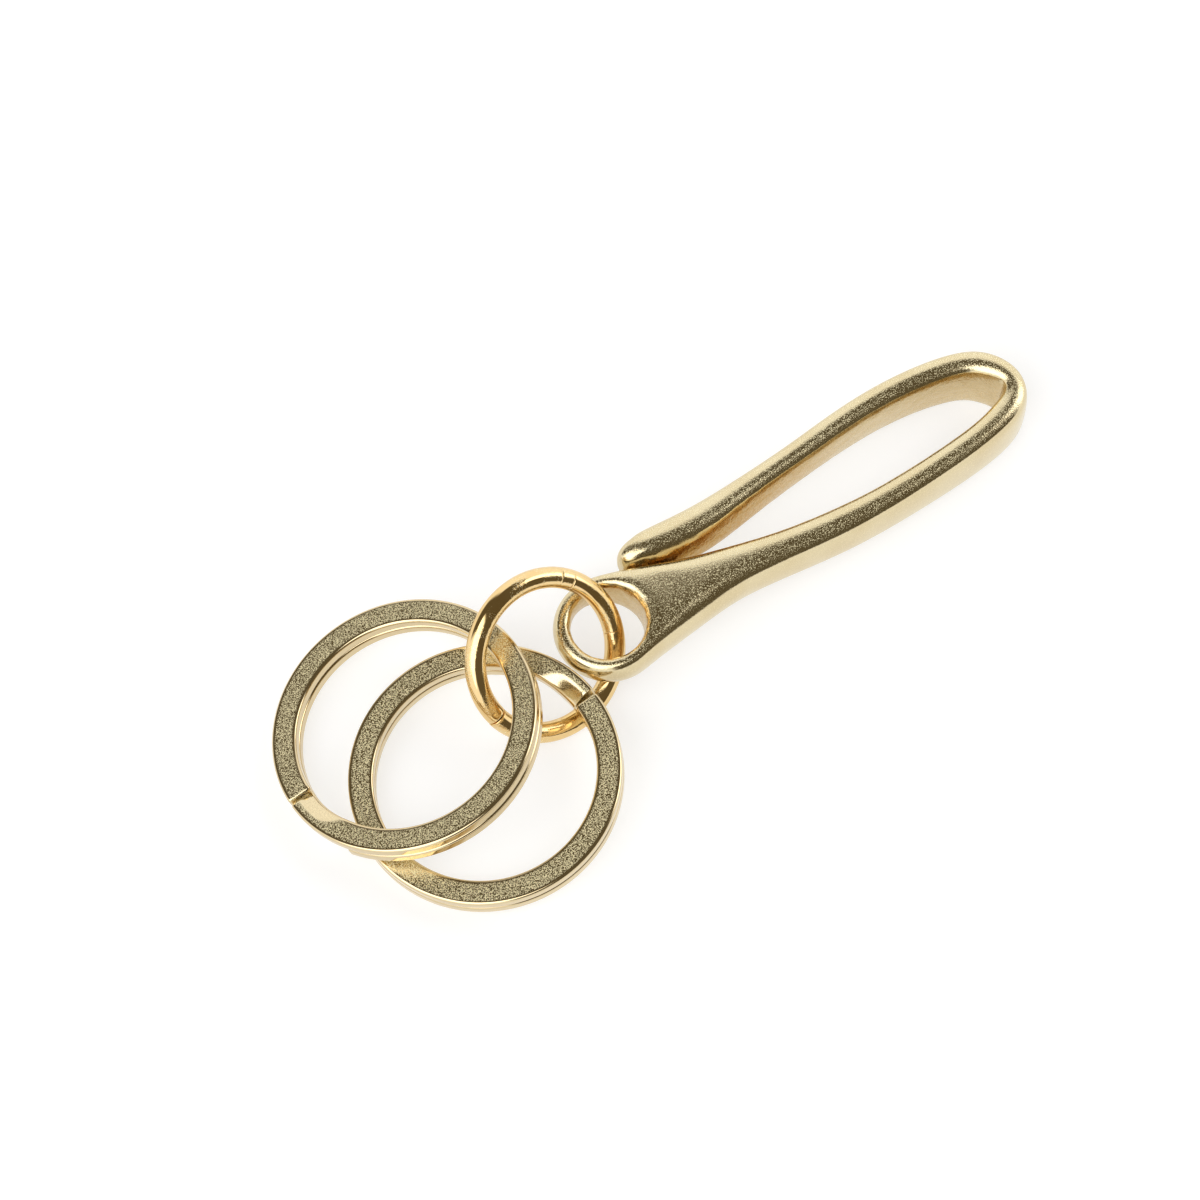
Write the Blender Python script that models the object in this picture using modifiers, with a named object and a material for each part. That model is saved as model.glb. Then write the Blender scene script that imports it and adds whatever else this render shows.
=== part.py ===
"""Key ring of solid brass: a cast fish hook, a round-wire link ring and two flat split rings.

The hook lies along +X with its eye on the -X side, and the rings lie loose around the eye as on a table.
Sizes are in millimetres and are turned into metres where the meshes are made.
"""

import math

import bmesh
import bpy
import numpy as np
from mathutils import Matrix, Vector

MM = 0.001

# Hook: the eye
EYE_BORE = 8.0
EYE_WALL = 2.0
EYE_DEPTH = 3.2

# Hook: the strip, from the palm at the eye round the bend to the prong's tip
REACH = 54.2
PALM_DEPTH = 6.0
BEND_DEPTH = 8.2
TIP_DEPTH = 5.6
STRIP_WIDTH = 3.45
PALM_WIDTH = 7.3
SHANK_BOW = 2.55
PRONG_AT_MOUTH = 5.8
PRONG_AT_BELLY = 8.4
TIP_REACH = 6.2
EDGE_ROUND = 1.5
PALM_EDGE_ROUND = 2.6
BORE_CREASE = 0.30
PALM_CREASE = 0.33
LAND_CUT = 0.2

# Link ring
LINK_BORE = 14.9
LINK_WIRE = 2.34
LINK_BUTT_GAP = 0.25
LINK_BUTT_STEP = 0.25

# Flat split rings
SPLIT_OUTSIDE = 30.0
SPLIT_BAND = 2.8
COIL_THICKNESS = 1.35
COIL_GAP = 0.1
COIL_EDGE = 0.3
RAMP_DEGREES = 30.0
END_GAP_DEGREES = 2.0
CROSSOVER_ROLL = 18.0
ROLL_PEAK = 0.75

# How the rings lie: tilt from the table, and the heading of each ring's low side
LINK_PLACE = (-7.76, 0.2)
LINK_TILT = 44.8
LINK_LOW_SIDE = -78.8
LINK_BUTT_HEADING = -156.0
UPPER_PLACE = (-24.76, 1.08)
UPPER_LIFT = 0.44
UPPER_TILT = 15.0
UPPER_LOW_SIDE = 145.0
UPPER_END_HEADING = -179.2
LOWER_PLACE = (-19.78, -7.35)
LOWER_LIFT = 0.02
LOWER_TILT = 7.5
LOWER_LOW_SIDE = 180.0
LOWER_END_HEADING = 5.0
EYE_HEIGHT = 5.75

# Swings: where the wire of the link ring carries each split ring, and each hinge's heading
UPPER_HOLD = 185.0
UPPER_SWING_HEADING = 37.0
LOWER_HOLD = 210.0
LOWER_SWING_HEADING = 210.0

RING_SIDES = 12
PALM_SIDES = 4
SUBDIVISIONS = 2
# A cubic surface pulls in from its cage by these shares
CAGE_SIDE = 46 / 48
CAGE_NEXT = 2 / 48
SECTION_ANGLES = [math.radians(a) for a in (162, 126, 90, 54, 18)]
SECTION_PULL = (2 + math.cos(math.radians(36))) / 3


def clear_scene():
    for old in list(bpy.data.objects):
        bpy.data.objects.remove(old, do_unlink=True)


def new_collection(name):
    collection = bpy.data.collections.new(name)
    bpy.context.scene.collection.children.link(collection)
    return collection


def brass(name, colour, roughness):
    material = bpy.data.materials.new(name)
    material.use_nodes = True
    shader = material.node_tree.nodes["Principled BSDF"]
    shader.inputs["Base Color"].default_value = (*colour, 1)
    shader.inputs["Metallic"].default_value = 1.0
    shader.inputs["Roughness"].default_value = roughness
    return material


def mesh_object(name, bm, collection, material=None):
    mesh = bpy.data.meshes.new(name)
    bmesh.ops.recalc_face_normals(bm, faces=bm.faces)
    bm.to_mesh(mesh)
    bm.free()
    mesh.shade_smooth()
    obj = bpy.data.objects.new(name, mesh)
    collection.objects.link(obj)
    if material:
        mesh.materials.append(material)
    return obj


def cage_through(points):
    """Cage points whose cubic curve passes through the given ones, with both ends kept."""
    wanted = np.array(points, float)
    cage = wanted.copy()
    for _ in range(8):
        curve = cage.copy()
        curve[1:-1] = (cage[:-2] + 4 * cage[1:-1] + cage[2:]) / 6
        cage += wanted - curve
    return cage


def hook_stations():
    """Middle of the strip, half width, half depth and the top's lean, from the palm round to the tip."""
    thin, palm = STRIP_WIDTH / 2, PALM_WIDTH / 2
    taper = palm - thin
    shank = [
        (0.200, 0.30, palm),
        (0.290, 0.44, thin + 0.52 * taper),
        (0.400, 0.74, thin + 0.22 * taper),
        (0.530, 0.99, thin + 0.12 * taper),
        (0.660, 1.00, thin + 0.03 * taper),
        (0.790, 0.80, thin),
        (0.895, 0.49, thin),
        (0.976, -0.12, 1.05 * thin),
    ]
    prong = [
        (0.972, -0.03, 1.06 * thin, 0.0),
        (0.908, 0.66, 1.00 * thin, 0.0),
        (0.790, 0.98, 0.96 * thin, 0.0),
        (0.660, 0.89, 0.94 * thin, 0.0),
        (0.530, 0.54, 0.91 * thin, 0.02),
        (0.400, 0.17, 0.98 * thin, 0.11),
        (0.275, -0.12, 1.17 * thin, 0.20),
        (0.175, -0.06, 1.14 * thin, 0.22),
    ]
    nose = [
        (1.4, 0.10, 0.97 * thin, 0.97),
        (0.2, 0.13, 0.84 * thin, 0.86),
        (-0.7, 0.10, 0.60 * thin, 0.68),
        (-1.15, 0.05, 0.30 * thin, 0.42),
    ]

    def depth(along, start):
        return (start + (BEND_DEPTH - start) * along**3) / 2

    rows = [(REACH * f, -SHANK_BOW * bow, width, depth(f, PALM_DEPTH), 0.0) for f, bow, width in shank]
    rows.append((REACH, PRONG_AT_BELLY * 0.34, 0.98 * thin, BEND_DEPTH / 2, 0.0))
    for f, share, width, lean in prong:
        across = PRONG_AT_MOUTH + share * (PRONG_AT_BELLY - PRONG_AT_MOUTH)
        rows.append((REACH * f, across, width, depth(f, TIP_DEPTH), lean))
    mouth = rows[-1][1]
    for beyond, out, width, height in nose:
        rows.append((TIP_REACH + beyond, mouth + out, width, height * TIP_DEPTH / 2, lean))
    return rows


def section(station, heading):
    """Ten cage points round the strip, top then bottom, and how near it is to the palm's flat form."""
    along, across, half_width, half_depth, lean = station
    left = Vector((-heading.y, heading.x, 0))
    palm = min(max((2 * half_width - STRIP_WIDTH) / (PALM_WIDTH - STRIP_WIDTH), 0), 1)
    edge = min(EDGE_ROUND + palm * (PALM_EDGE_ROUND - EDGE_ROUND), half_depth)
    top, bottom = [], []
    for angle in SECTION_ANGLES:
        out = left * (half_width / SECTION_PULL * math.cos(angle))
        rise = half_depth - edge + edge / SECTION_PULL * math.sin(angle)
        over_flat = math.sin(angle) > 0.5
        if over_flat:
            rise += palm * (half_depth - rise)
        tilt = Vector((0, 0, lean * half_width * math.cos(angle)))
        shift = left * (lean * rise)
        top.append(Vector((along, across, rise)) + out + tilt - shift)
        bottom.append(Vector((along, across, -rise)) + out + tilt + shift)
    return top, bottom, palm


def hook_cage():
    """The eye as a ring of four-sided sections, with the strip drawn out of its outer side."""
    bm = bmesh.new()
    crease = bm.edges.layers.float.new("crease_edge")
    pull = (2 + math.cos(2 * math.pi / RING_SIDES)) / 3
    inner_radius = EYE_BORE / 2 / pull
    outer_radius = ((EYE_BORE / 2 + EYE_WALL) / pull - CAGE_NEXT * inner_radius) / CAGE_SIDE
    loops = []
    for step in range(RING_SIDES):
        angle = 2 * math.pi * step / RING_SIDES
        share = (1 + math.cos(angle)) / 2
        up = Vector((0, 0, (EYE_DEPTH + (PALM_DEPTH - EYE_DEPTH) * share) / 2))
        out = Vector((math.cos(angle), math.sin(angle), 0))
        inner, outer = out * inner_radius, out * outer_radius
        loops.append([bm.verts.new(point) for point in (inner + up, outer + up, outer - up, inner - up)])
    half = PALM_SIDES // 2
    for step in range(RING_SIDES):
        here, after = loops[step], loops[(step + 1) % RING_SIDES]
        joins_palm = step < half or step >= RING_SIDES - half
        for side in range(4):
            if side == 1 and joins_palm:
                continue
            following = (side + 1) % 4
            bm.faces.new((here[side], after[side], after[following], here[following]))
        for side in (0, 3):
            bm.edges.get((here[side], after[side]))[crease] = BORE_CREASE
    top = [loops[step % RING_SIDES][1] for step in range(-half, half + 1)]
    bottom = [loops[step % RING_SIDES][2] for step in range(-half, half + 1)]

    stations = cage_through(hook_stations())
    for index, station in enumerate(stations):
        before = stations[max(index - 1, 0)]
        beyond = stations[min(index + 1, len(stations) - 1)]
        heading = Vector((beyond[0] - before[0], beyond[1] - before[1], 0)).normalized()
        *points, palm = section(station, heading)
        next_top, next_bottom = ([bm.verts.new(point) for point in row] for row in points)
        for one in range(PALM_SIDES):
            two = one + 1
            bm.faces.new((top[one], top[two], next_top[two], next_top[one]))
            bm.faces.new((bottom[one], bottom[two], next_bottom[two], next_bottom[one]))
        bm.faces.new((top[0], next_top[0], next_bottom[0], bottom[0]))
        bm.faces.new((top[-1], next_top[-1], next_bottom[-1], bottom[-1]))
        for row, next_row in ((top, next_top), (bottom, next_bottom)):
            for one in (1, PALM_SIDES - 1):
                bm.edges.get((row[one], next_row[one]))[crease] = PALM_CREASE * palm
        top, bottom = next_top, next_bottom
    for one in range(PALM_SIDES):
        bm.faces.new((top[one], top[one + 1], bottom[one + 1], bottom[one]))
    bmesh.ops.scale(bm, vec=(MM, MM, MM), verts=bm.verts)
    return bm


def build_hook(parts, cutters):
    hook = mesh_object("fish_hook", hook_cage(), parts, brass("cast_brass", (0.80, 0.66, 0.36), 0.3))
    smooth = hook.modifiers.new("cast_surface", "SUBSURF")
    smooth.levels = SUBDIVISIONS
    smooth.render_levels = SUBDIVISIONS
    bend_height = BEND_DEPTH / 2 - LAND_CUT
    pitch = math.atan2(EYE_HEIGHT - bend_height, REACH)
    hook.rotation_euler = (0, pitch, 0)
    hook.location = (0, 0, EYE_HEIGHT * MM)

    # The bend rests on a small dressed land, cut level with the table
    bm = bmesh.new()
    bmesh.ops.create_cube(bm, size=1)
    past_the_bend = 4 * REACH
    bmesh.ops.scale(bm, vec=(past_the_bend * MM, REACH * MM, BEND_DEPTH * MM), verts=bm.verts)
    table = mesh_object("land_cutter", bm, cutters)
    table.location = (0, 0, -BEND_DEPTH / 2 * MM)
    table.hide_render = True
    table.display_type = "WIRE"
    land = hook.modifiers.new("rest_land", "BOOLEAN")
    land.operation = "DIFFERENCE"
    land.object = table
    return hook


def lying(place, height, tilt, low_side, turn=0.0):
    """Matrix of a ring that lies at a tilt, with its low side towards a heading, turned about its own axis."""
    across = math.radians(low_side + 90)
    tip = Matrix.Rotation(math.radians(tilt), 4, Vector((math.cos(across), math.sin(across), 0)))
    spin = Matrix.Rotation(math.radians(turn), 4, "Z")
    return Matrix.Translation(Vector((*place, height)) * MM) @ tip @ spin


def wire_curve(name, points, collection):
    data = bpy.data.curves.new(name, "CURVE")
    data.dimensions = "3D"
    data.use_fill_caps = True
    spline = data.splines.new("POLY")
    spline.points.add(len(points) - 1)
    for slot, point in zip(spline.points, points):
        slot.co = (*(c * MM for c in point), 1)
    obj = bpy.data.objects.new(name, data)
    collection.objects.link(obj)
    return obj


def link_height():
    radius = (LINK_BORE + LINK_WIRE) / 2
    return LINK_WIRE / 2 + radius * math.sin(math.radians(LINK_TILT)) + LINK_BUTT_STEP / 2


def on_link_wire(round_it):
    """Point on the middle of the link ring's wire, so many degrees from its level diameter."""
    radius = (LINK_BORE + LINK_WIRE) / 2 * MM
    angle = math.radians(LINK_LOW_SIDE + 90 + round_it)
    place = lying(LINK_PLACE, link_height(), LINK_TILT, LINK_LOW_SIDE)
    return place @ Vector((radius * math.cos(angle), radius * math.sin(angle), 0))


def hinge(name, point, heading, collection):
    """Empty on a joint, with its Z axis along the hinge."""
    empty = bpy.data.objects.new(name, None)
    empty.empty_display_size = LINK_WIRE * MM
    turn = Matrix.Rotation(math.radians(heading), 4, "Z") @ Matrix.Rotation(math.pi / 2, 4, "Y")
    empty.matrix_basis = Matrix.Translation(point) @ turn
    collection.objects.link(empty)
    return empty


def carry(parent, child):
    child.parent = parent
    child.matrix_parent_inverse = parent.matrix_basis.inverted()


def build_link_ring(parts):
    radius = (LINK_BORE + LINK_WIRE) / 2
    half_gap = math.degrees(LINK_BUTT_GAP / 2 / radius)
    steps = 60
    points = []
    for step in range(steps + 1):
        share = step / steps
        angle = math.radians(half_gap + (360 - 2 * half_gap) * share)
        points.append((radius * math.cos(angle), radius * math.sin(angle), LINK_BUTT_STEP * (share - 0.5)))
    link = wire_curve("link_ring", points, parts)
    link.data.bevel_depth = LINK_WIRE / 2 * MM
    link.data.bevel_resolution = 3
    link.data.materials.append(brass("wire_brass", (0.87, 0.64, 0.30), 0.18))
    link.matrix_basis = lying(LINK_PLACE, link_height(), LINK_TILT, LINK_LOW_SIDE, LINK_BUTT_HEADING)
    return link


def band_profile(cutters):
    """Section of the split ring's band, with small chamfers, drawn about its middle."""
    across, up, edge = SPLIT_BAND / 2, COIL_THICKNESS / 2, COIL_EDGE
    corners = [(across - edge, up), (across, up - edge)]
    outline = []
    for sx, sy in ((1, 1), (1, -1), (-1, -1), (-1, 1)):
        pair = [(sx * x, sy * y) for x, y in corners]
        outline += pair if sx * sy > 0 else pair[::-1]
    profile = wire_curve("band_profile", [(x, y, 0) for x, y in outline], cutters)
    profile.data.splines[0].use_cyclic_u = True
    profile.data.dimensions = "2D"
    profile.hide_render = True
    profile.display_type = "WIRE"
    return profile


def crossover_roll(turned):
    """Inward roll of the band in degrees: it grows down the ramp and is gone under the top end."""
    turn = 360 - RAMP_DEGREES - END_GAP_DEGREES
    peak, under = turn + ROLL_PEAK * RAMP_DEGREES, turn + RAMP_DEGREES + END_GAP_DEGREES / 2
    share = (turned - turn) / (peak - turn) if turned < peak else (under - turned) / (under - peak)
    share = min(max(share, 0), 1)
    return CROSSOVER_ROLL * share * share * (3 - 2 * share)


def coil_points():
    """Middle line of a double coil and its rolls: once round on top, down the ramp, and once round below."""
    radius = (SPLIT_OUTSIDE - SPLIT_BAND) / 2
    level = (COIL_THICKNESS + COIL_GAP) / 2
    turn = 360 - RAMP_DEGREES - END_GAP_DEGREES
    rise = [(0.0, level), (turn, level)]
    steps = 6
    for step in range(1, steps):
        share = step / steps
        ease = share * share * (3 - 2 * share)
        rise.append((turn + RAMP_DEGREES * share, level * (1 - 2 * ease)))
    rise += [(turn + RAMP_DEGREES, -level), (2 * turn + RAMP_DEGREES, -level)]
    points, rolls = [], []
    flat_steps = 44
    for (start, z0), (end, z1) in zip(rise, rise[1:]):
        count = flat_steps if end - start > RAMP_DEGREES else 1
        for step in range(count):
            share = step / count
            turned = start + (end - start) * share
            angle = math.radians(-turned)
            points.append((radius * math.cos(angle), radius * math.sin(angle), z0 + (z1 - z0) * share))
            rolls.append(crossover_roll(turned))
    angle = math.radians(-rise[-1][0])
    points.append((radius * math.cos(angle), radius * math.sin(angle), rise[-1][1]))
    rolls.append(0)
    return points, rolls


def build_split_ring(name, parts, profile, material, place, lift, tilt, low_side, end_heading):
    points, rolls = coil_points()
    ring = wire_curve(name, points, parts)
    for slot, roll in zip(ring.data.splines[0].points, rolls):
        slot.tilt = math.radians(roll)
    ring.data.bevel_mode = "OBJECT"
    ring.data.bevel_object = profile
    ring.data.twist_mode = "Z_UP"
    ring.data.materials.append(material)
    stack = 2 * COIL_THICKNESS + COIL_GAP
    lean = math.radians(tilt)
    height = lift + SPLIT_OUTSIDE / 2 * math.sin(lean) + stack / 2 * math.cos(lean)
    ring.matrix_basis = lying(place, height, tilt, low_side, end_heading)
    return ring


def bounds(collection):
    """Lowest and highest corners of everything the collection shows."""
    bpy.context.view_layer.update()
    graph = bpy.context.evaluated_depsgraph_get()
    corners = []
    for obj in collection.objects:
        if obj.type == "EMPTY":
            continue
        shown = obj.evaluated_get(graph)
        mesh = shown.to_mesh()
        corners += [shown.matrix_world @ vertex.co for vertex in mesh.vertices]
        shown.to_mesh_clear()
    return np.min(corners, axis=0), np.max(corners, axis=0)


def centre_on_table(collection):
    """Moves everything so that the middle of the whole, at table height, is the origin."""
    low, high = bounds(collection)
    middle = Vector(((low[0] + high[0]) / 2, (low[1] + high[1]) / 2, low[2]))
    for obj in bpy.data.objects:
        if not obj.parent:
            obj.location -= middle


def main():
    clear_scene()
    parts = new_collection("key_ring")
    cutters = new_collection("cutters")
    build_hook(parts, cutters)
    link = build_link_ring(parts)
    profile = band_profile(cutters)
    coil = brass("coil_brass", (0.82, 0.68, 0.38), 0.28)
    upper = (UPPER_PLACE, UPPER_LIFT, UPPER_TILT, UPPER_LOW_SIDE, UPPER_END_HEADING)
    lower = (LOWER_PLACE, LOWER_LIFT, LOWER_TILT, LOWER_LOW_SIDE, LOWER_END_HEADING)
    upper_ring = build_split_ring("upper_split_ring", parts, profile, coil, *upper)
    lower_ring = build_split_ring("lower_split_ring", parts, profile, coil, *lower)

    wall = Vector((-(EYE_BORE + EYE_WALL) / 2, 0, EYE_HEIGHT)) * MM
    link_swing = hinge("link_swing", wall, LINK_LOW_SIDE + 90, parts)
    upper_swing = hinge("upper_ring_swing", on_link_wire(UPPER_HOLD), UPPER_SWING_HEADING, parts)
    lower_swing = hinge("lower_ring_swing", on_link_wire(LOWER_HOLD), LOWER_SWING_HEADING, parts)
    carry(link_swing, link)
    carry(link_swing, upper_swing)
    carry(link_swing, lower_swing)
    carry(upper_swing, upper_ring)
    carry(lower_swing, lower_ring)
    centre_on_table(parts)


main()
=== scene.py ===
"""Brass key ring on a white table: the solids' pieces with finer surfaces, finish, light and camera.

Sizes are in millimetres and are turned into metres where the meshes are made.
"""

import math

import bmesh
import bpy
import numpy as np
from mathutils import Matrix, Vector, noise


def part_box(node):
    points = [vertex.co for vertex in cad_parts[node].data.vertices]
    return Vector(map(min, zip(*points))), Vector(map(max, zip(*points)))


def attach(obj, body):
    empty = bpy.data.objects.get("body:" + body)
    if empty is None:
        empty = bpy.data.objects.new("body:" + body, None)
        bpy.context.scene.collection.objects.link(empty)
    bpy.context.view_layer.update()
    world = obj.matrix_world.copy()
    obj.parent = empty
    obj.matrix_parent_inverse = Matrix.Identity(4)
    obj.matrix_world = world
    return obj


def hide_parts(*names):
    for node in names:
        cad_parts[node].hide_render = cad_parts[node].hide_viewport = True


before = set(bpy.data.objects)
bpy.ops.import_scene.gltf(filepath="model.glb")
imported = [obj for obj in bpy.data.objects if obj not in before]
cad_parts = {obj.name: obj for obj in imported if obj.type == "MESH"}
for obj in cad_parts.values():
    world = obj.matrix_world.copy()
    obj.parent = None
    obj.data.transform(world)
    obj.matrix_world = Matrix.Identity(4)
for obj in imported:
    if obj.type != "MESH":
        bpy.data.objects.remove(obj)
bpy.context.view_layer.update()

MM = 0.001

# The hook, with the sizes of the solids
EYE_BORE = 8.0
EYE_WALL = 2.0
EYE_DEPTH = 3.2
REACH = 54.2
PALM_DEPTH = 6.0
BEND_DEPTH = 8.2
TIP_DEPTH = 5.6
STRIP_WIDTH = 3.45
PALM_WIDTH = 7.3
SHANK_BOW = 2.55
PRONG_AT_MOUTH = 5.8
PRONG_AT_BELLY = 8.4
BEND_SHARE = 0.34
TIP_REACH = 6.2
EDGE_ROUND = 1.5
PALM_EDGE_ROUND = 2.6
PALM_CREASE = 0.33
LAND_CUT = 0.2
EYE_HEIGHT = 5.75

# The hook's cage, and the shares of its points in where the smooth surface lies
RING_SIDES = 12
PALM_SIDES = 4
CURVE_ROUNDS = 8
CAGE_SIDE = 46 / 48
CAGE_NEXT = 2 / 48
SECTION_STEP = 36
SECTION_ANGLES = [math.radians(a) for a in range(162, 0, -SECTION_STEP)]
SECTION_PULL = (2 + math.cos(math.radians(SECTION_STEP))) / 3
FLAT_SINE = 0.5

# What the scene adds to the hook: a softer bore, a finer surface and relief on the inner walls
BORE_CREASE = 0.22
HOOK_SUBDIVISIONS = 4
SKIN_RELIEF = 0.05
RELIEF_SIZE = 1.1
FINE_RELIEF_SIZE = 0.5
FINE_RELIEF_SHARE = 0.5

# The link ring, with the sizes of the solids
LINK_BORE = 14.9
LINK_WIRE = 2.34
LINK_BUTT_GAP = 0.25
LINK_BUTT_STEP = 0.25
LINK_PLACE = (-7.76, 0.2)
LINK_TILT = 44.8
LINK_LOW_SIDE = -78.8
LINK_BUTT_HEADING = -156.0

# What the scene adds to the link ring: rounded ends, and nicks at headings round the ring and the wire
LINK_END_ROUND = 0.12
NICKS = [(148.0, 150.0), (204.0, 90.0), (214.0, 55.0)]
NICK_WIDTH = 0.18
NICK_DEPTH = 0.07

# The split rings, with the sizes and places of the solids
SPLIT_OUTSIDE = 30.0
SPLIT_BAND = 2.8
COIL_THICKNESS = 1.35
COIL_GAP = 0.1
COIL_EDGE = 0.3
RAMP_DEGREES = 30.0
UPPER = {"place": (-24.76, 1.08), "lift": 0.44, "tilt": 15.0, "low_side": 145.0, "end": -179.2}
LOWER = {"place": (-19.78, -7.35), "lift": 0.02, "tilt": 7.5, "low_side": 180.0, "end": 5.0}

# What the scene changes on the split rings: narrower gaps at the ends, a pressed slope and worn edges
END_GAP_DEGREES = 1.2
SLOPE_END = 0.55
STEP_START = 0.965
LEVEL_LIP = 1.15
SLOPE_ROUND = 0.25
SLOPE_GRAIN = 0.25
WORN_EDGE = 0.22

# How finely the rings are divided: along them, at their ends, round the wire and round the band
LINK_STEPS = 240
COIL_STEPS = 480
STEP_SECTIONS = 24
NICK_STEPS = 2
END_STEPS = 5
LINK_SIDES = 40
CORNER_STEPS = 6
FLAT_STEPS = 7
WALL_POINTS = (0.9, 0, -0.9)

# The middle of the eye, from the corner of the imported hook's box
hook_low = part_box("fish_hook")[0]
EYE_RADIUS = EYE_BORE / 2 + EYE_WALL
EYE = Vector((hook_low[0], hook_low[1], 0)) + Vector((EYE_RADIUS, EYE_RADIUS, 0)) * MM

# The photograph's view, from the table point in its middle
LOOK_FROM_EYE = (2.51, 5.77)
VIEW_AZIMUTH = -31.0
VIEW_ELEVATION = 65.0
VIEW_DISTANCE = 550.0
VIEW_WIDTH = 133.3
SENSOR = 36.0
CLIP_START = 0.01
CLIP_END = 10

# The studio's light, and the sines of the heights between which its ceiling turns dark
WALL_LIGHT = (1.2, 1.2, 1.2, 1)
DARK_LIGHT = (0.128, 0.107, 0.069, 1)
SOFT_BOX_LIGHT = (2.6, 2.6, 2.6, 1)
DARK_CEILING = (0.78, 0.86)

# The studio's dark places and soft boxes, as heading, height, half width and half height in degrees
DARK_PLACES = [(123, 38, 22, 27), (283, 22, 36, 45)]
SOFT_BOXES = [(200, 50, 27, 26), (346, 38, 13, 20)]
DARK_SOFTNESS = 0.12
SOFT_BOX_SOFTNESS = 0.08

# The table: its half side in metres, its colour as the lamps see it, and as it is seen
TABLE_SIZE = 3.0
TABLE_LIT = (0.8, 0.8, 0.8, 1)
TABLE_SEEN = (0.48, 0.48, 0.48, 1)
TABLE_LIFT = 0.61
WHITE = (1, 1, 1, 1)

# The metals: two tones, three roughnesses, where the grain lies and the limits of its pits
METALS = {
    "cast_brass": {
        "tones": ((0.71, 0.605, 0.385, 1), (0.67, 0.555, 0.335, 1)),
        "roughness": (0.10, 0.10, 0.46),
        "grain": "level",
        "pits": (0.565, 0.61),
    },
    "wire_brass": {
        "tones": ((0.84, 0.62, 0.31, 1), (0.80, 0.56, 0.24, 1)),
        "roughness": (0.07, 0.10, 0.35),
        "grain": "patches",
        "pits": (0.60, 0.68),
    },
    "coil_brass": {
        "tones": ((0.74, 0.64, 0.42, 1), (0.70, 0.59, 0.37, 1)),
        "roughness": (0.09, 0.10, 0.52),
        "grain": "flats",
        "pits": (0.475, 0.54),
    },
}
BRIGHT_PIT = (0.95, 0.85, 0.55, 1)
# Darker tone laid on the split rings where their grain is gone, on the side walls, band edges and slope:
# painted shade
SHADED_WALL_TONE = (0.70, 0.57, 0.35, 1)
UP = (0, 0, 1)

# Sizes of the noise, as its scale per metre, and the fine grain's height in metres
TONE_SCALE = 160.0
PATCH_SCALE = 420.0
GRAIN_SCALE = 8000.0
GRAIN_HEIGHT = 0.00002

# Soft steps, as the values that they run between and, where given, what they give at those values
TONE_STEP = (0.35, 0.65)
PATCH_STEP = (0.45, 0.62)
LEVEL_STEP = (0.62, 0.94, 0.3, 1.0)

# The cast skin of the hook's inner walls, strongest beside the palm, with its places in metres
CAST_SKIN = (0.56, 0.32, 0.08, 1)
SKIN_SCALE = 2600.0
SKIN_INNER = (0.5, 0.8)
SKIN_UPRIGHT = (0.25, 0.5, 1.0, 0.0)
SKIN_MOTTLE = (0.35, 0.6, 1.0, 0.7)
SKIN_FADE = (0.008, 0.030, 0.95, 0.28)
SKIN_AT_EYE = (-0.0025, -0.0005, 0.5, 1.0)
SKIN_ROUGHNESS = 0.12
SKIN_BUMP = 3.0


def cage_through(points):
    """Cage points whose cubic curve passes through the given ones, with both ends kept."""
    wanted = np.array(points, float)
    cage = wanted.copy()
    for _ in range(CURVE_ROUNDS):
        curve = cage.copy()
        curve[1:-1] = (cage[:-2] + 4 * cage[1:-1] + cage[2:]) / 6
        cage += wanted - curve
    return cage


def hook_stations():
    """Middle of the strip, half width, half depth and the top's lean, from the palm round to the tip."""
    thin, palm = STRIP_WIDTH / 2, PALM_WIDTH / 2
    taper = palm - thin
    # Share of the reach, share of the bow and half width
    shank = [
        (0.200, 0.30, palm),
        (0.290, 0.44, thin + 0.52 * taper),
        (0.400, 0.74, thin + 0.22 * taper),
        (0.530, 0.99, thin + 0.12 * taper),
        (0.660, 1.00, thin + 0.03 * taper),
        (0.790, 0.80, thin),
        (0.895, 0.49, thin),
        (0.976, -0.12, 1.05 * thin),
    ]
    # Share of the reach, share of the way from the mouth's distance to the belly's, half width and lean
    prong = [
        (0.972, -0.03, 1.06 * thin, 0.0),
        (0.908, 0.66, 1.00 * thin, 0.0),
        (0.790, 0.98, 0.96 * thin, 0.0),
        (0.660, 0.89, 0.94 * thin, 0.0),
        (0.530, 0.54, 0.91 * thin, 0.02),
        (0.400, 0.17, 0.98 * thin, 0.11),
        (0.275, -0.12, 1.17 * thin, 0.20),
        (0.175, -0.06, 1.14 * thin, 0.22),
    ]
    # Distance before the tip's place, distance outwards, half width and share of the tip's depth
    nose = [
        (1.4, 0.10, 0.97 * thin, 0.97),
        (0.2, 0.13, 0.84 * thin, 0.86),
        (-0.7, 0.10, 0.60 * thin, 0.68),
        (-1.15, 0.05, 0.30 * thin, 0.42),
    ]

    def depth(along, start):
        return (start + (BEND_DEPTH - start) * along**3) / 2

    rows = [(REACH * f, -SHANK_BOW * bow, width, depth(f, PALM_DEPTH), 0.0) for f, bow, width in shank]
    rows.append((REACH, PRONG_AT_BELLY * BEND_SHARE, 0.98 * thin, BEND_DEPTH / 2, 0.0))
    for f, share, width, lean in prong:
        across = PRONG_AT_MOUTH + share * (PRONG_AT_BELLY - PRONG_AT_MOUTH)
        rows.append((REACH * f, across, width, depth(f, TIP_DEPTH), lean))
    mouth = rows[-1][1]
    for before, out, width, height in nose:
        rows.append((TIP_REACH + before, mouth + out, width, height * TIP_DEPTH / 2, lean))
    return rows


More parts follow.
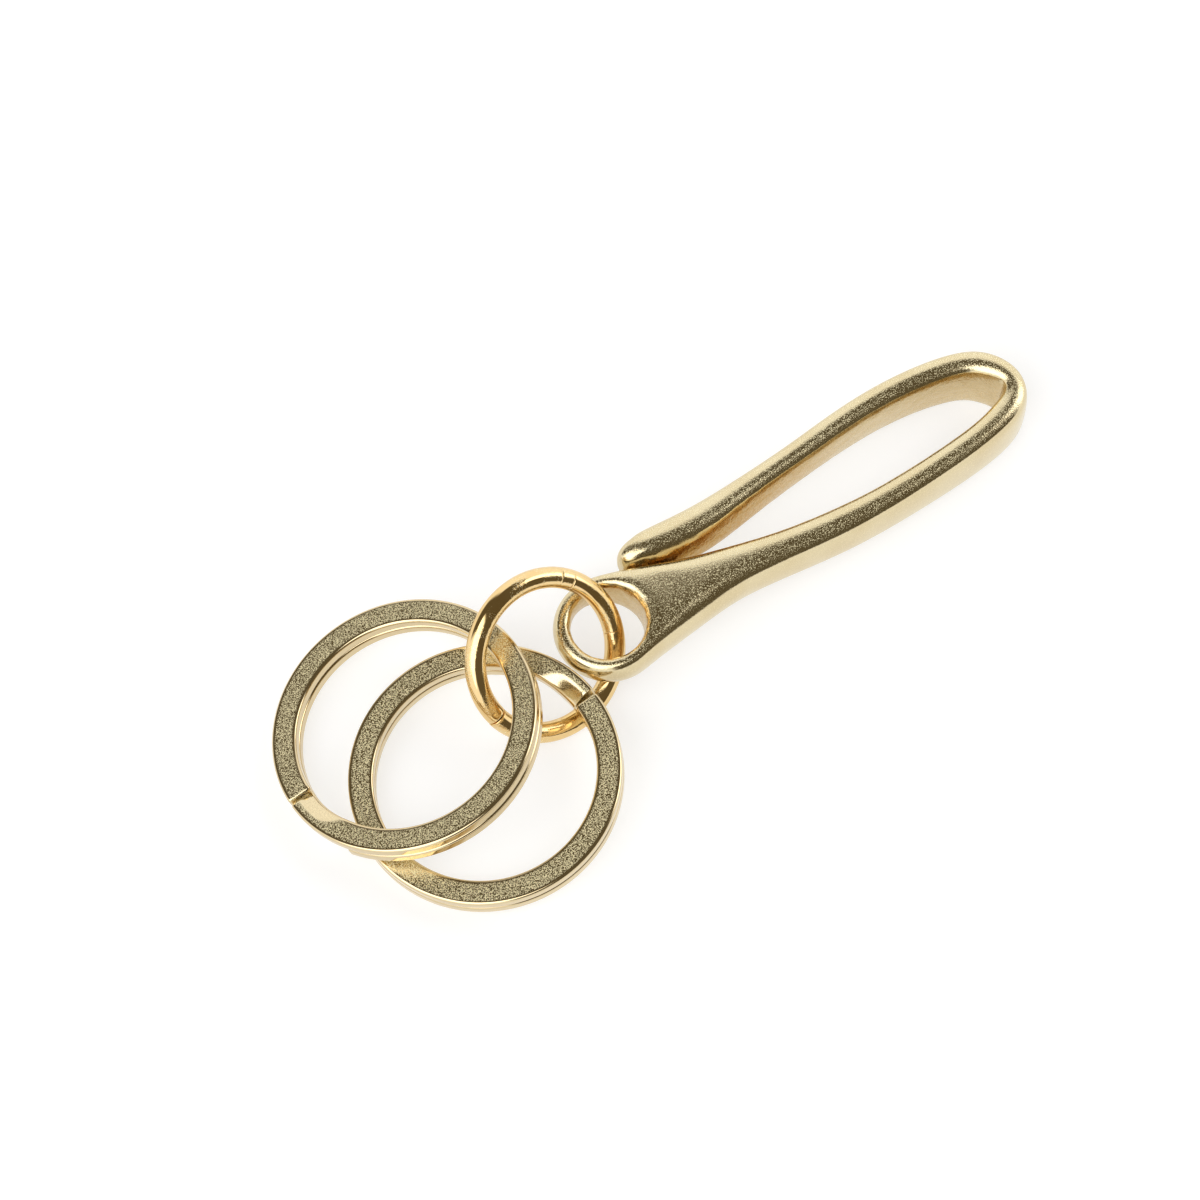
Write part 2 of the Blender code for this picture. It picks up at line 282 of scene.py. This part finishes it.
def section(station, heading):
    """Ten cage points round the strip, top then bottom, and how near it is to the palm's flat form."""
    along, across, half_width, half_depth, lean = station
    left = Vector((-heading.y, heading.x, 0))
    palm = min(max((2 * half_width - STRIP_WIDTH) / (PALM_WIDTH - STRIP_WIDTH), 0), 1)
    edge = min(EDGE_ROUND + palm * (PALM_EDGE_ROUND - EDGE_ROUND), half_depth)
    top, bottom = [], []
    for angle in SECTION_ANGLES:
        out = left * (half_width / SECTION_PULL * math.cos(angle))
        rise = half_depth - edge + edge / SECTION_PULL * math.sin(angle)
        if math.sin(angle) > FLAT_SINE:
            rise += palm * (half_depth - rise)
        tilt = Vector((0, 0, lean * half_width * math.cos(angle)))
        shift = left * (lean * rise)
        top.append(Vector((along, across, rise)) + out + tilt - shift)
        bottom.append(Vector((along, across, -rise)) + out + tilt + shift)
    return top, bottom, palm


def eye_cage(bm, crease, unpolished):
    """The eye as a ring of four-sided sections, open towards the palm, and the opening's top and bottom."""
    pull = (2 + math.cos(2 * math.pi / RING_SIDES)) / 3
    inner_radius = EYE_BORE / 2 / pull
    outer_radius = ((EYE_BORE / 2 + EYE_WALL) / pull - CAGE_NEXT * inner_radius) / CAGE_SIDE
    loops = []
    for step in range(RING_SIDES):
        angle = 2 * math.pi * step / RING_SIDES
        share = (1 + math.cos(angle)) / 2
        up = Vector((0, 0, (EYE_DEPTH + (PALM_DEPTH - EYE_DEPTH) * share) / 2))
        out = Vector((math.cos(angle), math.sin(angle), 0))
        inner, outer = out * inner_radius, out * outer_radius
        loops.append([bm.verts.new(point) for point in (inner + up, outer + up, outer - up, inner - up)])
        for corner in (0, 3):
            loops[-1][corner][unpolished] = 1
    half = PALM_SIDES // 2
    for step in range(RING_SIDES):
        here, after = loops[step], loops[(step + 1) % RING_SIDES]
        joins_palm = step < half or step >= RING_SIDES - half
        for side in range(4):
            if side == 1 and joins_palm:
                continue
            following = (side + 1) % 4
            bm.faces.new((here[side], after[side], after[following], here[following]))
        for side in (0, 3):
            bm.edges.get((here[side], after[side]))[crease] = BORE_CREASE
    opening = range(-half, half + 1)
    return [[loops[step % RING_SIDES][corner] for step in opening] for corner in (1, 2)]


def strip_cage(bm, crease, unpolished, top, bottom):
    """The strip, drawn out of the eye's opening through its stations and closed at the tip."""
    stations = cage_through(hook_stations())
    for index, station in enumerate(stations):
        before = stations[max(index - 1, 0)]
        beyond = stations[min(index + 1, len(stations) - 1)]
        heading = Vector((beyond[0] - before[0], beyond[1] - before[1], 0)).normalized()
        *points, palm = section(station, heading)
        next_top, next_bottom = ([bm.verts.new(point) for point in row] for row in points)
        if index > 0:
            next_top[-1][unpolished] = next_bottom[-1][unpolished] = 1
        for one in range(PALM_SIDES):
            two = one + 1
            bm.faces.new((top[one], top[two], next_top[two], next_top[one]))
            bm.faces.new((bottom[one], bottom[two], next_bottom[two], next_bottom[one]))
        bm.faces.new((top[0], next_top[0], next_bottom[0], bottom[0]))
        bm.faces.new((top[-1], next_top[-1], next_bottom[-1], bottom[-1]))
        for row, next_row in ((top, next_top), (bottom, next_bottom)):
            for one in (1, PALM_SIDES - 1):
                bm.edges.get((row[one], next_row[one]))[crease] = PALM_CREASE * palm
        top, bottom = next_top, next_bottom
    for one in range(PALM_SIDES):
        bm.faces.new((top[one], top[one + 1], bottom[one + 1], bottom[one]))


def hook_cage():
    """The whole hook's cage in metres, lying level about the middle of its eye."""
    bm = bmesh.new()
    crease = bm.edges.layers.float.new("crease_edge")
    unpolished = bm.verts.layers.float.new("inner_wall")
    top, bottom = eye_cage(bm, crease, unpolished)
    strip_cage(bm, crease, unpolished, top, bottom)
    bmesh.ops.scale(bm, vec=(MM, MM, MM), verts=bm.verts)
    bmesh.ops.recalc_face_normals(bm, faces=bm.faces)
    return bm


def mesh_object(name, bm, material):
    """Smooth object of one material, from a bmesh that is used up."""
    mesh = bpy.data.meshes.new(name)
    bm.to_mesh(mesh)
    bm.free()
    mesh.shade_smooth()
    mesh.materials.append(material)
    obj = bpy.data.objects.new(name, mesh)
    bpy.context.scene.collection.objects.link(obj)
    return obj


def roughen_inner_walls(mesh):
    """Coarse and fine relief of the cast skin, on the walls that aren't polished."""
    normals = [vertex.normal.copy() for vertex in mesh.vertices]
    for vertex, normal, share in zip(mesh.vertices, normals, mesh.attributes["inner_wall"].data):
        coarse = noise.noise(vertex.co / (RELIEF_SIZE * MM))
        relief = coarse + FINE_RELIEF_SHARE * noise.noise(vertex.co / (FINE_RELIEF_SIZE * MM))
        vertex.co += normal * (SKIN_RELIEF * MM * share.value**2 * relief)


def build_hook(material):
    """The cast hook, pitched down from its raised eye to the bend, which rests on the table."""
    cage = mesh_object("hook_cage", hook_cage(), material)
    smooth = cage.modifiers.new("cast_surface", "SUBSURF")
    smooth.levels = HOOK_SUBDIVISIONS
    smooth.render_levels = HOOK_SUBDIVISIONS
    pitch = math.atan2(EYE_HEIGHT - (BEND_DEPTH / 2 - LAND_CUT), REACH)
    place = Matrix.Translation(EYE + Vector((0, 0, EYE_HEIGHT * MM))) @ Matrix.Rotation(pitch, 4, "Y")
    bpy.context.view_layer.update()
    graph = bpy.context.evaluated_depsgraph_get()
    mesh = bpy.data.meshes.new_from_object(cage.evaluated_get(graph))
    bpy.data.objects.remove(cage)
    roughen_inner_walls(mesh)
    mesh.transform(place)
    # The bend rests on a land that is dressed level with the table
    for vertex in mesh.vertices:
        vertex.co.z = max(vertex.co.z, 0)
    hook = bpy.data.objects.new("cast_hook", mesh)
    bpy.context.scene.collection.objects.link(hook)
    return hook


def lying(place, height, tilt, low_side, turn):
    """Matrix of a ring that lies at a tilt, its low side towards a heading, turned about its own axis."""
    across = math.radians(low_side + 90)
    tip = Matrix.Rotation(math.radians(tilt), 4, Vector((math.cos(across), math.sin(across), 0)))
    spin = Matrix.Rotation(math.radians(turn), 4, "Z")
    return Matrix.Translation(EYE + Vector((*place, height)) * MM) @ tip @ spin


def loft(name, sections, material, grain=None):
    """Closed skin through equal rings of points, with flat ends and a share of grain for each point."""
    bm = bmesh.new()
    layer = bm.verts.layers.float.new("grain")
    rings = [[bm.verts.new(Vector(point) * MM) for point in ring] for ring in sections]
    for ring, shares in zip(rings, grain or []):
        for vertex, share in zip(ring, shares):
            vertex[layer] = share
    count = len(rings[0])
    for here, after in zip(rings, rings[1:]):
        for one in range(count):
            two = (one + 1) % count
            bm.faces.new((here[one], here[two], after[two], after[one]))
    bm.faces.new(rings[0][::-1])
    bm.faces.new(rings[-1])
    bmesh.ops.recalc_face_normals(bm, faces=bm.faces)
    return mesh_object(name, bm, material)


def end_sections(edge):
    """How far each section of a rounded end is drawn in, and how far it lies from that end."""
    angles = [math.pi / 2 * index / END_STEPS for index in range(END_STEPS)]
    return [(edge * (1 - math.sin(angle)), edge * (1 - math.cos(angle))) for angle in angles]


def wire_marks(radius, wire):
    """Angle from the butt joint and radius of the wire at each section of the link ring."""
    half_gap = LINK_BUTT_GAP / 2 / radius
    marks = []
    for inset, along in end_sections(LINK_END_ROUND):
        marks.append((half_gap + along / radius, wire - inset))
        marks.append((2 * math.pi - half_gap - along / radius, wire - inset))
    first = half_gap + LINK_END_ROUND / radius
    for step in range(LINK_STEPS + 1):
        marks.append((first + (2 * math.pi - 2 * first) * step / LINK_STEPS, wire))
    spacing = NICK_WIDTH / (2 * NICK_STEPS) / radius
    for nick, _ in NICKS:
        for step in range(-NICK_STEPS, NICK_STEPS + 1):
            marks.append((math.radians(nick) + spacing * step, wire))
    return sorted(marks)


def wire_section(radius, angle, wire):
    """Points round the wire at an angle from the butt joint, pressed in where a nick is near."""
    rise = LINK_BUTT_STEP * (angle / (2 * math.pi) - 0.5)
    away, facing = min((abs(angle - math.radians(nick)) * radius, side) for nick, side in NICKS)
    nicked = NICK_DEPTH * max(1 - 2 * away / NICK_WIDTH, 0)
    points = []
    for side in range(LINK_SIDES):
        around = 2 * math.pi * side / LINK_SIDES
        depth = wire - nicked * max(math.cos(around - math.radians(facing)), 0) ** 3
        reach = radius + depth * math.cos(around)
        points.append((reach * math.cos(angle), reach * math.sin(angle), rise + depth * math.sin(around)))
    return points


def build_link_ring(material):
    """The link ring: round wire whose two ends meet in a butt joint with a small step."""
    radius = (LINK_BORE + LINK_WIRE) / 2
    wire = LINK_WIRE / 2
    sections = [wire_section(radius, angle, thick) for angle, thick in wire_marks(radius, wire)]
    link = loft("round_link", sections, material)
    height = wire + radius * math.sin(math.radians(LINK_TILT)) + LINK_BUTT_STEP / 2
    link.data.transform(lying(LINK_PLACE, height, LINK_TILT, LINK_LOW_SIDE, LINK_BUTT_HEADING))
    return link


def band_outline(inset):
    """Rounded section of the split ring's band, about its middle."""
    edge = COIL_EDGE
    across, up = SPLIT_BAND / 2 - inset, COIL_THICKNESS / 2 - inset
    corners = ((1, 1, 0), (-1, 1, 90), (-1, -1, 180), (1, -1, 270))
    outline = []
    for index, (sx, sy, start) in enumerate(corners):
        for step in range(CORNER_STEPS + 1):
            angle = math.radians(start + 90 / CORNER_STEPS * step)
            x = sx * (across - edge) + edge * math.cos(angle)
            y = sy * (up - edge) + edge * math.sin(angle)
            outline.append((x, y))
        if index % 2 == 0:
            steps = range(FLAT_STEPS, -FLAT_STEPS - 1, -1)
            outline += [(x * step / (FLAT_STEPS + 0.5), y) for step in steps]
        else:
            outline += [(x, y * share) for share in WALL_POINTS]
    return outline


def ease(share):
    """Smooth step from 0 to 1."""
    share = min(max(share, 0), 1)
    return share * share * (3 - 2 * share)


def slope_at(turned):
    """Share of the ramp that is behind, and the slope's width there, so far round from the top end."""
    share = (turned - (360 - RAMP_DEGREES - END_GAP_DEGREES)) / RAMP_DEGREES
    return share, (SPLIT_BAND - LEVEL_LIP) * ease(share / SLOPE_END)


def coil_rise(turned, x):
    """Height of the band's middle, so many degrees from the top end and at a place across it.

    Down the ramp the band's inner side is pressed to a slope, which widens from the bore outwards, and the
    outer side stays level up to a last short step under the top end.
    """
    drop = COIL_THICKNESS + COIL_GAP
    share, slope_width = slope_at(turned)
    inner, outer = drop * ease(share), drop * ease((share - STEP_START) / (1 - STEP_START))
    into_slope = slope_width - SPLIT_BAND / 2 - x
    into_slope = (into_slope + math.hypot(into_slope, SLOPE_ROUND)) / 2
    return drop / 2 - outer - (inner - outer) * into_slope / (slope_width + SLOPE_ROUND)


def grain_share(turned, x):
    """Grain is left on the band's flats, and is worn away at their edges and on the ramp's slope; the band
    is darkened with painted shade where it is gone.
    """
    share, slope_width = slope_at(turned)
    from_edge = SPLIT_BAND / 2 - COIL_EDGE - abs(x)
    if 0 < share < 1 and abs(x) < SPLIT_BAND / 2 - COIL_EDGE:
        from_edge = max(min(from_edge, x + SPLIT_BAND / 2 - slope_width), SLOPE_GRAIN * WORN_EDGE)
    return min(max(from_edge / WORN_EDGE, 0), 1)


def coil_marks(radius):
    """Degrees from the top end and how far the band is drawn in, at each section of the two coils."""
    total = 2 * (360 - RAMP_DEGREES - END_GAP_DEGREES) + RAMP_DEGREES
    ends = [(math.degrees(along / radius), inset) for inset, along in end_sections(COIL_EDGE)]
    first = math.degrees(COIL_EDGE / radius)
    turns = [first + (total - 2 * first) * step / COIL_STEPS for step in range(COIL_STEPS + 1)]
    step_degrees = (1 - STEP_START) * RAMP_DEGREES
    for step in range(STEP_SECTIONS + 1):
        turns.append(360 - END_GAP_DEGREES - step_degrees * step / STEP_SECTIONS)
    middle = [(turned, 0) for turned in sorted(turns)]
    return ends + middle + [(total - turned, inset) for turned, inset in reversed(ends)]


def build_split_ring(name, lie, material):
    """A split ring: one band coiled twice, with a ramp from the upper coil to the lower one."""
    radius = (SPLIT_OUTSIDE - SPLIT_BAND) / 2
    up = Vector(UP)
    sections = []
    grain = []
    for turned, inset in coil_marks(radius):
        angle = -math.radians(turned)
        out = Vector((math.cos(angle), math.sin(angle), 0))
        outline = band_outline(inset)
        sections.append([(radius + x) * out + (y + coil_rise(turned, x)) * up for x, y in outline])
        grain.append([grain_share(turned, x) for x, _ in outline])
    ring = loft(name, sections, material, grain)
    lean = math.radians(lie["tilt"])
    stack = 2 * COIL_THICKNESS + COIL_GAP
    height = lie["lift"] + SPLIT_OUTSIDE / 2 * math.sin(lean) + stack / 2 * math.cos(lean)
    ring.data.transform(lying(lie["place"], height, lie["tilt"], lie["low_side"], lie["end"]))
    return ring


class Nodes:
    """Short calls to build a node tree."""

    def __init__(self, tree):
        self.tree = tree
        self.tree.nodes.clear()

    def add(self, kind, inputs=None, **settings):
        node = self.tree.nodes.new(kind)
        for name, value in settings.items():
            setattr(node, name, value)
        for name, value in (inputs or {}).items():
            socket = node.inputs[name]
            if isinstance(value, bpy.types.NodeSocket):
                self.tree.links.new(value, socket)
            else:
                socket.default_value = value
        return node

    def math(self, operation, *values):
        return self.add("ShaderNodeMath", dict(enumerate(values)), operation=operation).outputs[0]

    def dot(self, one, two):
        return self.add("ShaderNodeVectorMath", {0: one, 1: two}, operation="DOT_PRODUCT").outputs["Value"]

    def ramp(self, value, low, high, start=0.0, end=1.0):
        inputs = {"Value": value, "From Min": low, "From Max": high, "To Min": start, "To Max": end}
        return self.add("ShaderNodeMapRange", inputs, interpolation_type="SMOOTHSTEP").outputs["Result"]

    def noise(self, place, scale, detail=3.0, roughness=0.5):
        inputs = {"Vector": place, "Scale": scale, "Detail": detail, "Roughness": roughness}
        return self.add("ShaderNodeTexNoise", inputs).outputs["Fac"]

    def marked(self, attribute):
        return self.add("ShaderNodeAttribute", attribute_name=attribute).outputs["Fac"]

    def blend(self, share, one, two):
        inputs = {"Factor": share, 6: one, 7: two}
        return self.add("ShaderNodeMix", inputs, data_type="RGBA").outputs[2]

    def mix(self, share, one, two):
        inputs = {0: share, 2: one, 3: two}
        return self.add("ShaderNodeMix", inputs, data_type="FLOAT").outputs[0]


def cast_skin(nodes, place, level, tone, rough, height):
    """Tone, roughness and height with the skin of the casting laid over the hook's inner walls."""
    inner = nodes.ramp(nodes.marked("inner_wall"), *SKIN_INNER)
    skin = nodes.math("MULTIPLY", inner, nodes.ramp(level, *SKIN_UPRIGHT))
    coarse = nodes.noise(place, SKIN_SCALE, detail=2.0)
    along = nodes.add("ShaderNodeSeparateXYZ", {"Vector": place}).outputs["X"]
    share = nodes.math("MULTIPLY", nodes.ramp(along, *SKIN_FADE), nodes.ramp(coarse, *SKIN_MOTTLE))
    share = nodes.math("MULTIPLY", share, nodes.ramp(along, *SKIN_AT_EYE))
    tone = nodes.blend(nodes.math("MULTIPLY", skin, share), tone, CAST_SKIN)
    rough = nodes.math("ADD", rough, nodes.math("MULTIPLY", skin, SKIN_ROUGHNESS))
    bumps = nodes.math("MULTIPLY", nodes.math("MULTIPLY", coarse, skin), SKIN_BUMP)
    return tone, rough, nodes.math("ADD", height, bumps)


def brass(name, tones, roughness, grain, pits):
    """Brass with a fine grain of bright pits, left on the flats, on the level faces or in patches.

    The roughness is that of worn metal, of the ground between the pits and of the pits. The limits in pits
    are the values of the speckle at which a pit begins and is full.
    """
    material = bpy.data.materials.new(name)
    material.use_nodes = True
    nodes = Nodes(material.node_tree)
    coords = nodes.add("ShaderNodeTexCoord")
    place = coords.outputs["Object"]
    speckle = nodes.noise(place, GRAIN_SCALE, detail=1.0, roughness=0.6)
    tone = nodes.blend(nodes.ramp(nodes.noise(place, TONE_SCALE), *TONE_STEP), *tones)
    if grain == "flats":
        grainy = nodes.marked("grain")
        # Off the flats, on the side walls, band edges and slope, the band is darkened: painted shade
        tone = nodes.blend(grainy, SHADED_WALL_TONE, tone)
    elif grain == "level":
        level = nodes.math("ABSOLUTE", nodes.dot(coords.outputs["Normal"], UP))
        grainy = nodes.ramp(level, *LEVEL_STEP)
    else:
        grainy = nodes.ramp(nodes.noise(place, PATCH_SCALE, detail=2.0), *PATCH_STEP)
    worn, ground, pitted = roughness
    pit = nodes.math("MULTIPLY", nodes.ramp(speckle, *pits), grainy)
    rough = nodes.mix(pit, nodes.mix(grainy, worn, ground), pitted)
    tone = nodes.blend(pit, tone, BRIGHT_PIT)
    height = nodes.math("MULTIPLY", speckle, grainy)
    if grain == "level":
        tone, rough, height = cast_skin(nodes, place, level, tone, rough, height)
    bump = nodes.add("ShaderNodeBump", {"Height": height, "Distance": GRAIN_HEIGHT, "Strength": 1.0})
    inputs = {"Base Color": tone, "Metallic": 1.0, "Roughness": rough, "Normal": bump.outputs["Normal"]}
    shader = nodes.add("ShaderNodeBsdfPrincipled", inputs)
    nodes.add("ShaderNodeOutputMaterial", {"Surface": shader.outputs["BSDF"]})
    return material


def seen_directly(nodes):
    """1 for rays from the camera, straight, mirrored or through glass, and 0 for the light on things."""
    path = nodes.add("ShaderNodeLightPath")
    seen = nodes.math("MAXIMUM", path.outputs["Is Camera Ray"], path.outputs["Is Glossy Ray"])
    return nodes.math("MAXIMUM", seen, path.outputs["Is Transmission Ray"])


def white_table_material():
    """White that takes a light shadow, and is lifted to white where it is seen."""
    material = bpy.data.materials.new("white_table")
    material.use_nodes = True
    nodes = Nodes(material.node_tree)
    lit = nodes.add("ShaderNodeBsdfDiffuse", {"Color": TABLE_LIT})
    shaded = nodes.add("ShaderNodeBsdfDiffuse", {"Color": TABLE_SEEN})
    lift = nodes.add("ShaderNodeEmission", {"Color": WHITE, "Strength": TABLE_LIFT})
    lifted = nodes.add("ShaderNodeAddShader", {0: shaded.outputs[0], 1: lift.outputs[0]})
    inputs = {0: seen_directly(nodes), 1: lit.outputs[0], 2: lifted.outputs[0]}
    mix = nodes.add("ShaderNodeMixShader", inputs)
    nodes.add("ShaderNodeOutputMaterial", {"Surface": mix.outputs[0]})
    return material


def build_table():
    """The plain table that the key ring lies on, which isn't part of it."""
    bm = bmesh.new()
    bmesh.ops.create_grid(bm, x_segments=1, y_segments=1, size=TABLE_SIZE)
    table = mesh_object("table", bm, white_table_material())


def sky_patch(nodes, direction, heading, height, half_width, half_height, soft):
    """1 inside a rectangle of the sky about a heading and height in degrees, with a soft edge."""
    turn, lift = math.radians(heading), math.radians(height)
    side = Vector((-math.sin(turn), math.cos(turn), 0))
    middle = Vector((math.cos(turn) * math.cos(lift), math.sin(turn) * math.cos(lift), math.sin(lift)))
    # What lies behind is given a small distance ahead, which puts it far outside the rectangle
    ahead = nodes.math("MAXIMUM", nodes.dot(direction, middle), 0.001)
    inside = []
    for axis, half in ((side, half_width), (middle.cross(side), half_height)):
        away = nodes.math("ABSOLUTE", nodes.math("DIVIDE", nodes.dot(direction, axis), ahead))
        edge = math.tan(math.radians(half))
        inside.append(nodes.ramp(away, edge - soft, edge + soft, 1.0, 0.0))
    return nodes.math("MULTIPLY", *inside)


def build_world():
    """White studio walls, a dark ceiling and dark places that polished faces mirror, and two soft boxes."""
    world = bpy.data.worlds.new("studio")
    bpy.context.scene.world = world
    world.use_nodes = True
    nodes = Nodes(world.node_tree)
    direction = nodes.add("ShaderNodeTexCoord").outputs["Generated"]
    height = nodes.add("ShaderNodeSeparateXYZ", {"Vector": direction}).outputs["Z"]
    dark = nodes.ramp(height, *DARK_CEILING)
    for place in DARK_PLACES:
        dark = nodes.math("MAXIMUM", dark, sky_patch(nodes, direction, *place, DARK_SOFTNESS))
    boxes = [sky_patch(nodes, direction, *place, SOFT_BOX_SOFTNESS) for place in SOFT_BOXES]
    soft_box = nodes.math("MAXIMUM", *boxes)
    studio = nodes.blend(soft_box, nodes.blend(dark, WALL_LIGHT, DARK_LIGHT), SOFT_BOX_LIGHT)
    path = nodes.add("ShaderNodeLightPath")
    behind = nodes.add("ShaderNodeBackground", {"Color": WHITE, "Strength": 1.0})
    around = nodes.add("ShaderNodeBackground", {"Color": studio, "Strength": 1.0})
    inputs = {0: path.outputs["Is Camera Ray"], 1: around.outputs[0], 2: behind.outputs[0]}
    mix = nodes.add("ShaderNodeMixShader", inputs)
    nodes.add("ShaderNodeOutputWorld", {"Surface": mix.outputs[0]})


def build_camera():
    """The photograph's camera, which looks down on the middle of its picture."""
    data = bpy.data.cameras.new("camera")
    data.sensor_width = SENSOR
    data.lens = SENSOR * VIEW_DISTANCE / VIEW_WIDTH
    data.clip_start = CLIP_START
    data.clip_end = CLIP_END
    camera = bpy.data.objects.new("camera", data)
    bpy.context.scene.collection.objects.link(camera)
    heading = Matrix.Rotation(math.radians(VIEW_AZIMUTH), 4, "Z")
    turn = heading @ Matrix.Rotation(math.radians(90 - VIEW_ELEVATION), 4, "X")
    look = EYE + Vector((*LOOK_FROM_EYE, 0)) * MM
    camera.matrix_world = Matrix.Translation(look) @ turn @ Matrix.Translation((0, 0, VIEW_DISTANCE * MM))
    bpy.context.scene.camera = camera


def build_pieces():
    """The four pieces, each on its body, standing for its node and with its material slot."""
    cast, wire, coil = (brass(name, **finish) for name, finish in METALS.items())
    pieces = [
        (build_link_ring(wire), "link", "link_ring", "wire_brass"),
        (build_hook(cast), "hook", "fish_hook", "cast_brass"),
        (build_split_ring("upper_coils", UPPER, coil), "upper_ring", "upper_split_ring", "coil_brass"),
        (build_split_ring("lower_coils", LOWER, coil), "lower_ring", "lower_split_ring", "coil_brass"),
    ]
    for piece, body, node, slot in pieces:
        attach(piece, body)
        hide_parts(node)


def main():
    build_pieces()
    build_table()
    build_world()
    build_camera()
    bpy.context.scene.view_settings.view_transform = "Standard"


main()
